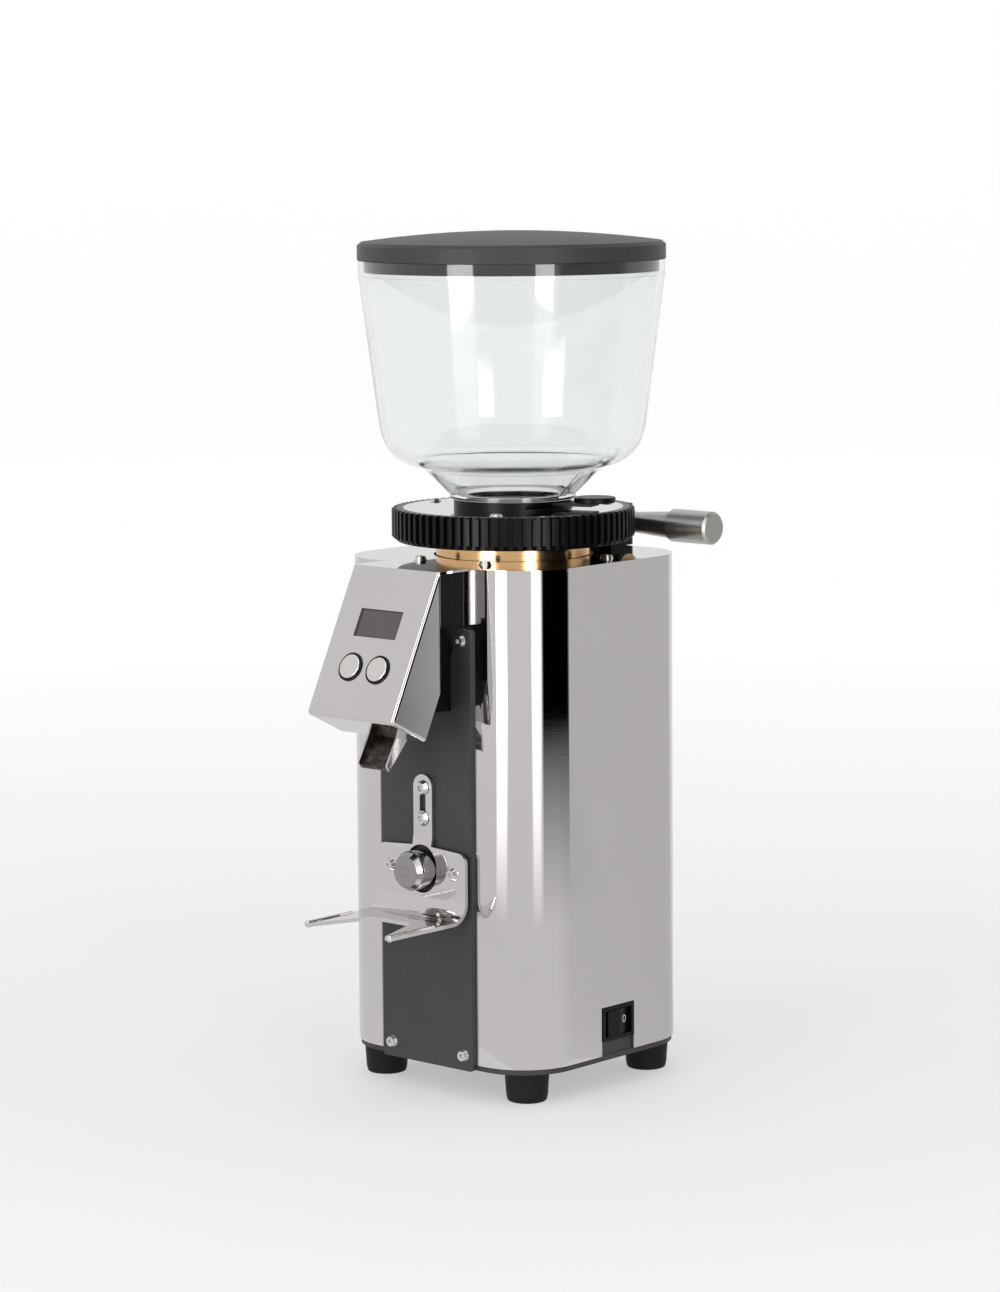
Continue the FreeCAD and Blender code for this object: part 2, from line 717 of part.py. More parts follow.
# Square duct from the chamber to the neck.
duct = new_body()
duct_points = rectangle(-duct_half, duct_half, duct_bottom, duct_bottom + duct_height)
extrude(duct, "XZ", duct_points, chamber_radius - 3, -front_inside - chamber_radius + 3)
carve(duct, "XZ", rectangle(-duct_inside_half, duct_inside_half, duct_low, duct_high), 30, 50)
duct_back = rod(chamber_radius + 0.1, chamber_bottom - 1, casing_top)
finish("outlet_duct", cut(duct, duct_back))

# Lower burr on its carrier, which turns with the motor's shaft.
lower_carrier = revolve([(shaft_radius, carrier_bottom - 1), (carrier_radius, carrier_bottom - 1),
                         (carrier_radius, lower_burr_bottom), (shaft_radius, lower_burr_bottom)])
feed_cone = cone(burr_bore - 2, shaft_radius, lower_burr_bottom, lower_burr_bottom + 12)
finish("lower_burr_carrier", fuse(lower_carrier, feed_cone))


def burr(face, back, tooth_face):
    """A flat burr: a ring whose face falls away towards the bore."""
    return revolve([(burr_bore, back), (burr_radius, back), (burr_radius, face),
                    (burr_radius - 5, face), (burr_bore, tooth_face)])


finish("lower_burr", burr(lower_burr_bottom + burr_thickness, lower_burr_bottom,
                          lower_burr_bottom + burr_thickness - 4))
finish("upper_burr", burr(upper_burr_bottom, upper_burr_top, upper_burr_bottom + 4))

# Brass carrier of the upper burr: its thread screws into the chamber, and the ring sits on it.
collar_inner = throat_radius + 3
groove_level = casing_top + 1.2
brass = revolve([(burr_bore + 1, upper_burr_top), (collar_radius, upper_burr_top),
                 (collar_radius, groove_level - 0.8), (collar_radius - 1, groove_level - 0.8),
                 (collar_radius - 1, groove_level + 0.8), (collar_radius, groove_level + 0.8),
                 (collar_radius, ring_bottom), (collar_inner, ring_bottom),
                 (collar_inner, upper_burr_top + 14), (burr_bore + 1, upper_burr_top + 4)])
finish("brass_carrier", brass)

# ---------------------------------------------------------------------------------------------
# Adjusting ring and worm
# ---------------------------------------------------------------------------------------------
disc_radius = ring_radius - 6
disc_recess = 1.0
ring = revolve([(collar_inner, ring_bottom), (ring_radius - 3, ring_bottom),
                (ring_radius, ring_bottom + 2.6), (ring_radius, ring_top - 0.8),
                (ring_radius - 0.8, ring_top), (disc_radius, ring_top),
                (disc_radius, ring_top - disc_recess), (collar_inner, ring_top - disc_recess)])
tooth_pitch = ring_radius * (2 * math.pi) / ring_teeth
groove_half = tooth_pitch * 0.3
doc.recompute()
groove_sketch = new_sketch(ring, "XY", ring_top + 1)
draw_outline(groove_sketch, [(ring_radius - tooth_depth, -groove_half * 0.8),
                             (ring_radius + 1, -groove_half * 1.1), (ring_radius + 1, groove_half * 1.1),
                             (ring_radius - tooth_depth, groove_half * 0.8)])
groove = ring.newObject("PartDesign::Pocket", "groove")
groove.Profile = groove_sketch
bind(groove, "Length", ring_height + 2)
doc.recompute()
teeth = ring.newObject("PartDesign::PolarPattern", "teeth")
teeth.Originals = [groove]
teeth.Axis = (groove_sketch, ["N_Axis"])
teeth.Angle = 360
bind(teeth, "Occurrences", ring_teeth)
ring.Tip = teeth
finish("adjusting_ring", ring)

disc_screw_inset = size("disc_screw_inset", 4.6)
disc_spots = [around(disc_radius - disc_screw_inset, angle, ring_top) for angle in (-57.6, 62.4, 182.4)]
disc = new_body()
extrude(disc, "XY", None, ring_top - disc_recess, disc_recess, (0, 0, disc_radius - 0.1))
carve(disc, "XY", None, ring_top - disc_recess - 1, disc_recess + 2, (0, 0, collar_inner))
for x, y, z in disc_spots:
    carve(disc, "XY", None, ring_top - disc_recess - 1, disc_recess + 2, (x, y, screw_radius))
finish("ring_disc", disc)
dome_height = size("dome_height", 1.2)
screw_group("ring_screws", disc_spots, disc_recess, head_height=dome_height)

# Worm: a right-handed thread that lies in the ring's tooth gaps, cut on the adjusting shaft.
thread_turns = 2 * math.floor(worm_half_length.number / worm_pitch.number)
thread_length = worm_pitch * thread_turns
thread_start = -(thread_length / 2)


def worm_thread():
    """The thread's solid along +Z, with its ridge towards +X at the start."""
    pitch, core, outer = worm_pitch.number, worm_core.number - 0.3, worm_outer.number
    helix = Part.makeHelix(pitch, thread_length.number, core)
    root, tip = pitch * 0.24, pitch * 0.1
    corners = [(core, -root), (outer, -tip), (outer, tip), (core, root)]
    profile = Part.makePolygon([FreeCAD.Vector(x, 0, z) for x, z in corners + corners[:1]])
    return Part.Wire(helix).makePipeShell([profile], True, True)


thread = doc.addObject("Part::Feature", "worm_thread")
thread.Shape = worm_thread()
thread.Placement = FreeCAD.Placement(FreeCAD.Vector(0, 0, thread_start.number),
                                     FreeCAD.Rotation(FreeCAD.Vector(0, 0, 1), -90))
taper_start = worm_housing_half + fit_gap
worm_tail = -worm_housing_half + 3
taper_low = size("taper_low", 5.3)
taper_high = size("taper_high", 7.4)
worm_core_rod = rod(worm_core, worm_tail, taper_start)
worm_taper = cone(taper_low, taper_high, taper_start, knob_start)
worm_spigot = rod(taper_low - 1, knob_start, knob_start + knob_length - 6)
finish("worm_shaft", fuse(worm_core_rod, worm_taper, worm_spigot, thread),
       0, worm_axis, worm_height, SIDE_AXIS, SIDE_ANGLE)
knob_end = knob_start + knob_length
knob = revolve([(0, knob_end - 6), (taper_low - 1, knob_end - 6), (taper_low - 1, knob_start),
                (knob_radius - 0.6, knob_start), (knob_radius, knob_start + 0.6),
                (knob_radius, knob_end - 1.2), (knob_radius - 1.2, knob_end), (0, knob_end)])
finish("worm_knob", knob, 0, worm_axis, worm_height, SIDE_AXIS, SIDE_ANGLE)

# Housing behind the ring that holds the worm in two bushes.
bush_radius = worm_outer + 1.2
bush_length = size("bush_length", 7)
housing_back = worm_axis + 7.5
housing_top = worm_height + 9.5
housing_block = new_body()
extrude(housing_block, "XY", [(-worm_housing_half, ring_radius - 9), (worm_housing_half, ring_radius - 9),
                              (worm_housing_half, housing_back, 6), (-worm_housing_half, housing_back, 6)],
        deck_top, housing_top - deck_top)
ring_clearance = rod(ring_radius + 0.7, housing_seat, housing_top + 1)
worm_bore = rod(worm_outer + 0.6, -worm_housing_half + bush_length, worm_housing_half - bush_length,
                worm_axis, worm_height, "X")
bush_bore = rod(bush_radius, -worm_housing_half - 1, worm_housing_half + 1, worm_axis, worm_height, "X")
screw_holes = [rod(screw_radius + hole_gap, deck_top - 1, ring_bottom, x, y) for x, y, z in housing_spots]
head_seats = [rod(screw_head_radius + hole_gap, housing_seat, housing_top + 1, x, y)
              for x, y, z in housing_spots]
finish("worm_housing", cut(housing_block, ring_clearance, worm_bore, bush_bore, *screw_holes, *head_seats))


def bush(start):
    return cut(rod(bush_radius, start, start + bush_length, worm_axis, worm_height, "X"),
               rod(worm_core + running_gap, start - 1, start + bush_length + 1, worm_axis, worm_height, "X"),
               rod(ring_radius + 0.7, housing_seat, housing_top + 1))


finish("worm_bushes", group(bush(-worm_housing_half), bush(worm_housing_half - bush_length)))

# ---------------------------------------------------------------------------------------------
# Hopper, its collar and gate, and the lid
# ---------------------------------------------------------------------------------------------
spigot_depth = size("spigot_depth", 14)
spigot_radius = collar_inner - fit_gap
collar_body = revolve([(throat_radius, ring_top - spigot_depth), (spigot_radius, ring_top - spigot_depth),
                       (spigot_radius, ring_top), (seat_radius, ring_top),
                       (seat_radius, hopper_bottom), (throat_radius, hopper_bottom)])
gate_half = throat_radius + 0.7
gate_low = ring_top + 1.5
gate_slot_half = gate_half + fit_gap
gate_slot_low = gate_low - fit_gap
gate_slot_height = gate_thickness + 2 * fit_gap
gate_slot = fuse(rod(gate_slot_half, gate_slot_low, gate_slot_low + gate_slot_height),
                 box(0, seat_radius + 5, -gate_slot_half, gate_slot_half, gate_slot_low,
                     gate_slot_low + gate_slot_height))
finish("hopper_collar", cut(collar_body, gate_slot), 0, 0, 0, (0, 0, 1), gate_angle)

gate_bar_half = size("gate_bar_half", 6)
gate_plate = rod(gate_half, gate_low, gate_low + gate_thickness)
gate_bar = box(0, gate_reach, -gate_bar_half, gate_bar_half, gate_low, gate_low + gate_thickness)
finish("gate", fuse(gate_plate, gate_bar), 0, 0, 0, (0, 0, 1), gate_angle)
pad_low = gate_low + gate_thickness
gate_pad = revolve([(0, pad_low), (gate_pad_radius - 0.5, pad_low), (gate_pad_radius, pad_low + 0.5),
                    (gate_pad_radius, pad_low + 3, 0.8), (0, pad_low + 3)])
finish("gate_pad", gate_pad, gate_reach * cosine(gate_angle), gate_reach * sine(gate_angle), 0)

flange_radius = seat_radius + 2
flange_top = hopper_bottom + 2.2
cone_radius = size("cone_radius", 47.5)         # where the steep cone meets the rounded base
cone_height = size("cone_height", 16)
belly_corner = size("belly_corner", 24)


def hopper_side(wall):
    """Outer side of the hopper from its flange to its rim, moved inwards by the wall."""
    return [(cone_radius - wall * 0.35, hopper_bottom + cone_height + wall * 0.75, 8),
            (hopper_belly - wall, hopper_bottom + cone_height + 6 + wall * 0.9, belly_corner - wall),
            (hopper_rim - wall, hopper_top - 8)]


hopper_floor = flange_top + 0.4
hopper_floor_radius = flange_radius - hopper_wall * 1.2
outside = hopper_side(0)
inside = hopper_side(hopper_wall)
hopper = revolve([(throat_radius, hopper_bottom), (flange_radius, hopper_bottom), (flange_radius, flange_top)]
                 + outside + [(hopper_rim, hopper_top), (hopper_rim - hopper_wall, hopper_top)]
                 + inside[::-1] + [(hopper_floor_radius, hopper_floor), (throat_radius, hopper_floor)])
finish("hopper", hopper)

lid_top = lid_bottom + lid_rim_height + lid_dome
sphere_rise = size("sphere_rise", 5.4)


# A shallow cap: a spherical crown over a short upright rim, joined by a narrow sloping edge.
lid_edge = size("lid_edge", 2.2)
crown_reach = lid_radius - lid_edge
crown_radius = (crown_reach * crown_reach + sphere_rise * sphere_rise) / (sphere_rise * 2)
crown_middle = lid_top - crown_radius
shoulder = lid_top - sphere_rise


def ball(radius, level):
    item = doc.addObject("Part::Sphere", "ball")
    bind(item, "Radius", radius)
    return place(item, 0, 0, level, FRONT_AXIS, FRONT_ANGLE)


lid_outside = revolve([(0, lid_bottom), (lid_radius, lid_bottom), (lid_radius, shoulder - lid_edge * 0.8),
                       (lid_radius - lid_edge * 3, shoulder + lid_edge * 1.6), (0, shoulder + lid_edge * 6)])
lid_hollow = rod(lid_radius - lid_wall, lid_bottom - 1, lid_top + 1)
finish("lid", cut(overlap(lid_outside, ball(crown_radius, crown_middle)),
                  overlap(lid_hollow, ball(crown_radius - lid_wall, crown_middle))))
skirt_outer = hopper_rim - hopper_wall - 0.6
skirt_drop = size("skirt_drop", 6)
skirt_top = lid_top - sphere_rise - lid_wall - 1.2
finish("lid_seal", tube(skirt_outer, skirt_outer - 2.5, hopper_top - skirt_drop, skirt_top))

# ---------------------------------------------------------------------------------------------
# Head: neck, folded housing, display, keys and spout
# ---------------------------------------------------------------------------------------------
head_gap = size("head_gap", 0.3)
head_rear = head_edge + 0.5                     # upright rear edge of the head
tilt_sine, tilt_cosine = sine(head_tilt), cosine(head_tilt)


def head_point(inward, down):
    """(Y, Z) of a point behind the sloping face and down from its top edge."""
    return (head_edge - down * tilt_sine + inward * tilt_cosine,
            head_top - down * tilt_cosine - inward * tilt_sine)


face_low = head_point(0, head_face)
rear_low = head_point(head_depth, head_face)
rear_knee = (head_rear, rear_low[1] + (head_rear - rear_low[0]) * tilt_cosine / tilt_sine)
neck_gap = head_gap
neck_slope = tilt_sine / tilt_cosine
neck_front_low = head_rear + neck_gap - (rear_knee[1] - neck_floor) * neck_slope

head = new_body()
roof_back = front - 0.2
roof_under = head_top - head_wall
outer_profile = [(head_edge, head_top), (face_low[0], face_low[1], 2.5), (rear_low[0], rear_low[1]),
                 (head_rear, rear_knee[1]), (head_rear, roof_under), (roof_back, roof_under),
                 (roof_back, head_top)]
extrude(head, "YZ", outer_profile, -head_half, head_half * 2)
face_middle = head_point(0, head_face / 2)
round_edges(head, 1.8, lambda edge, middle: near(abs(middle.x), head_half)
            and middle.y < face_middle[0].number + 2)
inner_low = head_point(head_wall, head_face - head_wall)
inner_rear = head_point(head_depth - head_wall, head_face - head_wall)
wedge_drop = (head_wall / tilt_cosine + head_wall - (head_rear - head_edge)) * tilt_cosine / tilt_sine
carve(head, "YZ", [(head_rear - head_wall, head_top - wedge_drop - 0.5), (inner_low[0], inner_low[1], 1.3),
                   (inner_rear[0], inner_rear[1]), (head_rear - head_wall, rear_knee[1])],
      -head_half + head_wall, (head_half - head_wall) * 2)


def on_head(item):
    """Place a tool that was drawn on an upright face at Y = 0 on the head's sloping face."""
    return place(item, 0, head_edge, head_top, (1, 0, 0), -head_tilt)


window_hole = box(-display_half, display_half, -5, 5, -display_drop - display_height, -display_drop)
key_holes = [rod(bezel_radius - 0.9, -5, 5, key_spread * side, -key_drop, "Y") for side in (-1, 1)]
face_cuts = on_head(fuse(window_hole, *key_holes))
# A bright block behind the head's upper part carries it on the neck.
block_rear = front - neck_joint
head_block = box(-neck_half, neck_half, head_rear - 0.3, block_rear, panel_head + neck_gap, roof_under)
finish("head_housing", cut(fuse(head, head_block), face_cuts))


def finish_on_head(label, item):
    return finish(label, item, 0, head_edge, head_top, (1, 0, 0), -head_tilt)


window_margin = 0.15
window = box(-display_half + window_margin, display_half - window_margin, 1.3, 2.2,
             -display_drop - display_height + window_margin, -display_drop - window_margin)
finish_on_head("display_window", group(window))
board_depth = size("board_depth", 5)
display_module = box(-display_half - 3, display_half + 3, 2.3, board_depth + 0.5,
                     -display_drop - display_height - 2, -display_drop + 1.5)
circuit_board = box(-head_half + 4, head_half - 4, board_depth, board_depth + 1.4,
                    -key_drop - 12, -display_drop + 1)
finish_on_head("display_board", fuse(display_module, circuit_board))


def key_ring():
    return revolve([(key_radius + fit_gap, -1.4), (bezel_radius - 1, -1.4), (bezel_radius - 1, 0),
                    (bezel_radius, 0), (bezel_radius, 0.6), (bezel_radius - 0.4, 0.9),
                    (key_radius + fit_gap, 0.9)])


def on_face(item, side):
    """Turn an item drawn along +Z to stand on the head's face at one of the two keys."""
    return place(group(item), key_spread * side, 0, -key_drop, FRONT_AXIS, FRONT_ANGLE)


finish_on_head("key_bezels", group(on_face(key_ring(), -1), on_face(key_ring(), 1)))
stem_end = -board_depth + key_travel + 0.2
for name, side in (("left", -1), ("right", 1)):
    cap = revolve([(0, stem_end), (2.2, stem_end), (2.2, -2.4), (key_radius + 1.2, -2.4),
                   (key_radius + 1.2, -1.4 - fit_gap), (key_radius, -1.4 - fit_gap),
                   (key_radius, 1.4, 0.5), (0, 1.4)])
    finish_on_head("menu_key_" + name, group(on_face(cap, side)))

# Black neck between the casing and the head, with the passage for the ground coffee.
neck = new_body()
neck_top = roof_under - 0.2
neck_step = block_rear + neck_gap
extrude(neck, "YZ", [(front, neck_top), (neck_step, neck_top), (neck_step, panel_head),
                     (head_rear + neck_gap, panel_head), (head_rear + neck_gap, rear_knee[1]),
                     (neck_front_low, neck_floor), (front, neck_floor)],
        -neck_half, neck_half * 2)
passage_front = head_rear + neck_gap + 2
passage_exit_front = neck_front_low + 2.2
passage_exit_rear = passage_exit_front + 11
carve(neck, "YZ", [(front + 1, duct_high), (passage_front + 6, duct_high), (passage_front, duct_high - 6),
                   (passage_exit_front, neck_floor - 1), (passage_exit_rear, neck_floor - 1),
                   (front - 9, duct_low), (front + 1, duct_low)],
      -duct_inside_half, duct_inside_half * 2)
finish("neck", neck)

# Spout: a bright channel under the neck, open towards the front.
spout_drop = size("spout_drop", 25)
spout_tip_depth = size("spout_tip_depth", 2.8)
spout_roof = neck_floor - 0.2
spout_front_top = neck_front_low + 0.8
spout_tip_front = spout_front_top - spout_drop * neck_slope - 2
spout = new_body()
spout_low = spout_roof - spout_drop
extrude(spout, "YZ", [(spout_front_top, spout_roof), (spout_tip_front, spout_low),
                      (spout_tip_front + 1.8, spout_low - spout_tip_depth),
                      (spout_front_top - 0.5, spout_roof - 15), (spout_front_top + 12, spout_roof)],
        -spout_half, spout_half * 2)
carve(spout, "YZ", [(spout_front_top - 20, spout_roof + 1), (spout_tip_front - 8, spout_low - 6),
                    (spout_tip_front + 0.2, spout_low - spout_tip_depth + 0.9),
                    (spout_front_top - 1.8, spout_roof - 14.4), (spout_front_top + 11.2, spout_roof + 1)],
      -spout_half + spout_wall, (spout_half - spout_wall) * 2)
finish("spout", spout)

# ---------------------------------------------------------------------------------------------
# Fork, its screws and the start button
# ---------------------------------------------------------------------------------------------
tongue_back = panel_face - fit_gap
tongue_face = tongue_back - fork_thickness
joggle = size("joggle", 1.5)
plate_face = tongue_face - joggle
plate_back = plate_face + fork_thickness
prong_top = casing_bottom + fork_level
plate_head = casing_bottom + fork_top
joggle_top = plate_head + 7
tongue_head = casing_bottom + tongue_top

fork_side = new_body()
extrude(fork_side, "YZ",
        [(tongue_face, tongue_head), (tongue_face, joggle_top), (plate_face, plate_head - 1),
         (plate_face, prong_top, fork_bend), (fork_tip, prong_top, 0.8),
         (fork_tip, prong_top - fork_thickness, 0.8), (plate_back, prong_top - fork_thickness, fork_bend + 2),
         (plate_back, plate_head - 0.6), (tongue_back, joggle_top + 0.4), (tongue_back, tongue_head)],
        -fork_half - 1, fork_half * 2 + 2)
slot_half = screw_radius + hole_gap


def upright_slot(half, low, high):
    """Round-ended slot whose end centres are at low and high."""
    corner = half - 0.01
    return [(-half, low - half, corner), (half, low - half, corner),
            (half, high + half, corner), (-half, high + half, corner)]


fork_front = new_body()
extrude(fork_front, "XZ",
        [(-fork_half, prong_top - 20), (fork_half, prong_top - 20), (fork_half, plate_head, 5),
         (tongue_half, plate_head + 1.5), (tongue_half, tongue_head, tongue_half - 0.01),
         (-tongue_half, tongue_head, tongue_half - 0.01), (-tongue_half, plate_head + 1.5),
         (-fork_half, plate_head, 5)],
        -front, fork_reach + 10)
carve(fork_front, "XZ", upright_slot(slot_half, tongue_low - fork_travel, tongue_high + fork_travel),
      -front - 1, fork_reach)
button_slot_half = start_radius + fit_gap
carve(fork_front, "XZ", upright_slot(button_slot_half, start_axis - fork_travel, start_axis + fork_travel),
      -front - 1, 20)
fork_screw_spread = size("fork_screw_spread", 22)
for side in (-1, 1):
    carve(fork_front, "XZ", None, -front - 1, 20, (fork_screw_spread * side, start_axis - 0.5,
                                                   screw_radius + hole_gap))
notch_base = front - 28
prong_width = size("prong_width", 4.2)
fork_plan = new_body()
extrude(fork_plan, "XY",
        [(-fork_half, front), (-fork_half, fork_tip, 2), (-fork_half + prong_width, fork_tip, 2),
         (-14, notch_base, 6), (14, notch_base, 6), (fork_half - prong_width, fork_tip, 2),
         (fork_half, fork_tip, 2), (fork_half, front)],
        prong_top - 30, tongue_head - prong_top + 40)
prong_radius = size("prong_radius", 1.9)
prong_length = size("prong_length", 34)
prong_axis = fork_half - prong_radius
prong_middle = prong_top - fork_thickness / 2
prongs = []
for side in (-1, 1):
    stem = rod(prong_radius, fork_tip + prong_radius, fork_tip + prong_length,
               prong_axis * side, prong_middle, "Y")
    tip = doc.addObject("Part::Sphere", "tip")
    bind(tip, "Radius", prong_radius)
    prongs += [stem, place(tip, prong_axis * side, fork_tip + prong_radius, prong_middle, (0, 1, 0), 90)]
finish("fork", fuse(overlap(overlap(fork_side, fork_front), fork_plan), *prongs))
screw_group("fork_screws", [(fork_screw_spread * side, plate_face, start_axis - 0.5) for side in (-1, 1)],
            fork_thickness, FRONT_AXIS, FRONT_ANGLE)
washer_face = tongue_face - fit_gap
tongue_screw_head = size("tongue_screw_head", 4.2)
screw_group("tongue_screws", [(0, washer_face, tongue_low), (0, washer_face, tongue_high)],
            -washer_face + front_inside + 4, FRONT_AXIS, FRONT_ANGLE, head_radius=tongue_screw_head)

# Start button: a crowned barrel on a stem.  The sleeve is fixed in the front panel, and a spring
# round the button's pin pushes it out again.
stem_radius = size("stem_radius", 5.2)
stem_length = size("stem_length", 6.5)
pin_radius = size("pin_radius", 2)
pin_length = size("pin_length", 10.6)
pin_end = stem_length + pin_length
start_button = revolve([(0, -pin_end), (pin_radius, -pin_end), (pin_radius, -stem_length),
                        (stem_radius, -stem_length), (stem_radius, -0.4), (start_radius - 0.4, -0.4),
                        (start_radius, 0), (start_radius, start_length - 3.4, 3),
                        (start_radius - 2.2, start_length, 0.4), (0, start_length)])
finish("start_button", start_button, 0, plate_face, start_axis, FRONT_AXIS, FRONT_ANGLE)
sleeve_face = plate_face - panel_face           # panel face as seen from the fork plate's face
spring_room = size("spring_room", 5)
sleeve_floor = -stem_length - start_travel - spring_room
sleeve_back = sleeve_floor - 1.5
sleeve_bore = stem_radius + fit_gap
start_sleeve = revolve([(sleeve_bore, sleeve_face), (start_sleeve_radius, sleeve_face),
                        (start_sleeve_radius, sleeve_back), (pin_radius + fit_gap, sleeve_back),
                        (pin_radius + fit_gap, sleeve_floor), (sleeve_bore, sleeve_floor)])
finish("start_sleeve", start_sleeve, 0, plate_face, start_axis, FRONT_AXIS, FRONT_ANGLE)

spring_wire = size("spring_wire", 0.4)
spring_radius = size("spring_radius", 3.6)
spring_turns = 4


def coil_spring(length):
    """Open coil along +Z, just above Z = 0."""
    rise = length.number - 2 * spring_wire.number - 0.2
    helix = Part.makeHelix(rise / spring_turns, rise, spring_radius.number)
    half, middle = spring_wire.number, spring_radius.number
    turns = [math.pi * step / 4 for step in range(8)]
    corners = [(middle + half * math.cos(turn), half * math.sin(turn)) for turn in turns]
    profile = Part.makePolygon([FreeCAD.Vector(x, 0, z) for x, z in corners + corners[:1]])
    return Part.Wire(helix).makePipeShell([profile], True, True)


spring = doc.addObject("Part::Feature", "spring")
spring_length = spring_room - 0.2
spring.Shape = coil_spring(spring_length)
spring_seat = plate_face + stem_length + spring_length - spring_wire - 0.1
finish("start_spring", spring, 0, spring_seat, start_axis, FRONT_AXIS, FRONT_ANGLE)
switch_start = plate_face - sleeve_back
switch_pin_room = size("switch_pin_room", 4.4)
switch_depth = size("switch_depth", 11.5)
switch_case = box(-10, 10, switch_start, switch_start + switch_depth, start_axis - 5, start_axis + 5)
switch_bore = rod(pin_radius + 0.6, switch_start - 1, switch_start + switch_pin_room, 0, start_axis, "Y")
finish("start_switch", cut(switch_case, switch_bore))

# ---------------------------------------------------------------------------------------------
# Mains switch, inlet and electrics
# ---------------------------------------------------------------------------------------------
bezel_half = notch_half - 0.3
bezel_half_height = rocker_half_height + 2.3
bezel_face = half_width + 0.5
switch_inner = size("switch_inner", 18)         # depth of the switch behind the casing's face
rocker_room = 0.9
switch_front = box(tab_outside, bezel_face, rocker_center - bezel_half, rocker_center + bezel_half,
                   switch_middle - bezel_half_height, switch_middle + bezel_half_height)
switch_body = box(half_width - switch_inner, tab_outside, rocker_center - switch_hole_half,
                  rocker_center + switch_hole_half, switch_middle - switch_hole_height,
                  switch_middle + switch_hole_height)
switch_window = box(half_width - switch_inner + 4, bezel_face + 1, rocker_center - rocker_half - rocker_room,
                    rocker_center + rocker_half + rocker_room,
                    switch_middle - rocker_half_height - fit_gap,
                    switch_middle + rocker_half_height + fit_gap)
rocker_pivot = half_width - 6
rocker_pin = size("rocker_pin", 1.5)            # radius of the stubs that the rocker turns on
rocker_pin_end = rocker_half_height + 1.1
pin_sockets = rod(rocker_pin + fit_gap, switch_middle - rocker_pin_end - fit_gap,
                  switch_middle + rocker_pin_end + fit_gap, rocker_pivot, rocker_center)
finish("switch_housing", cut(fuse(switch_front, switch_body), switch_window, pin_sockets))

rocker = new_body()
extrude(rocker, "XY", [(7, 0, 4), (5.6, rocker_half), (1, rocker_half - 0.4), (-5, 3, 2), (-5, -3, 2),
                       (1, -rocker_half + 0.4), (5.6, -rocker_half)],
        -rocker_half_height, rocker_half_height * 2)
finish("rocker", fuse(rocker, rod(rocker_pin, -rocker_pin_end, rocker_pin_end)),
       rocker_pivot, rocker_center, switch_middle, (0, 0, 1), rocker_tilt)

flange_half = size("inlet_flange_half", 20)
inlet_flange = new_body()
extrude(inlet_flange, "XZ", rectangle(-flange_half, flange_half, inlet_middle - 12.5, inlet_middle + 12.5, 4),
        -half_depth - 2.5, 2.5)
inlet_depth = size("inlet_depth", 24)
inlet_block = box(-inlet_half, inlet_half, half_depth - inlet_depth, half_depth,
                  inlet_middle - inlet_half_height, inlet_middle + inlet_half_height)
inlet_recess = new_body()
recess_half, recess_half_height = inlet_half - 1.6, inlet_half_height - 1.6
extrude(inlet_recess, "XZ", [(-recess_half, inlet_middle - recess_half_height, 1),
                             (recess_half, inlet_middle - recess_half_height, 1),
                             (recess_half, inlet_middle + 2.5),
                             (recess_half - 5, inlet_middle + recess_half_height),
                             (-recess_half + 5, inlet_middle + recess_half_height),
                             (-recess_half, inlet_middle + 2.5)],
        -half_depth - 3, 19)
pin_spots = [(-7, -1), (0, 3), (7, -1)]
pin_back = half_depth - inlet_depth - 3


def inlet_pin(x, rise, margin=0):
    level = inlet_middle + rise
    return box(x - 1 - margin, x + 1 + margin, pin_back, half_depth - 3,
               level - 2 - margin, level + 2 + margin)


pin_slots = [inlet_pin(x, rise, 0.05) for x, rise in pin_spots]
finish("inlet_socket", cut(fuse(inlet_flange, inlet_block), inlet_recess, *pin_slots))
finish("inlet_pins", group(*[inlet_pin(x, rise) for x, rise in pin_spots]))

board_back = half_depth - casing_wall
board_gap = size("board_gap", 7)
board_face = board_back - board_gap
control_board = box(-30, 30, board_face - 1.6, board_face, 75, 155)
parts_on_board = [box(x, x + w, board_face - 1.6 - d, board_face - 1.6, z, z + h)
                  for x, w, d, z, h in ((-25, 18, 8, 82, 20), (2, 22, 6, 84, 14), (-22, 12, 7, 118, 26),
                                        (6, 16, 5, 120, 18))]
standoffs = [rod(2.5, board_face, board_back, x, z, "Y") for x in (-26, 26) for z in (79, 151)]
finish("control_board", fuse(control_board, *parts_on_board, *standoffs))

capacitor_radius = size("capacitor_radius", 12.5)
capacitor_length = size("capacitor_length", 50)
capacitor_along = size("capacitor_along", 12)
capacitor_level = casing_bottom + capacitor_radius
finish("capacitor", fuse(rod(capacitor_radius, -38, capacitor_length - 38,
                             capacitor_along, capacitor_level, "X"),
                         rod(3, -42, -38, capacitor_along, capacitor_level, "X")))

# ---------------------------------------------------------------------------------------------
# Check and export
# ---------------------------------------------------------------------------------------------
doc.recompute()
for item in doc.Objects:
    if "Invalid" in item.State or "Error" in item.State:
        raise RuntimeError(f"{item.Name} ({item.Label}) failed: {item.State}")
for item in sub_parts:
    if item.Shape.isNull() or not item.Shape.isValid() or not item.Shape.Solids:
        raise RuntimeError(f"{item.Label} has no valid solid")
for item in sub_parts:
    item.Shape.exportStep(f"parts/{item.Label}.step")
whole = Part.makeCompound([item.Shape for item in sub_parts]).BoundBox
print(len(sub_parts), "sub-parts,", f"box {whole.XLength:.2f} x {whole.YLength:.2f} x {whole.ZLength:.2f}")
print(f"centre x {whole.Center.x:.3f}, y {whole.Center.y:.3f}, bottom z {whole.ZMin:.3f}")
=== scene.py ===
"""Burr coffee grinder: the looks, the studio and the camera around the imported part."""
import json
import math

import bmesh
import bpy
from mathutils import Matrix, Vector


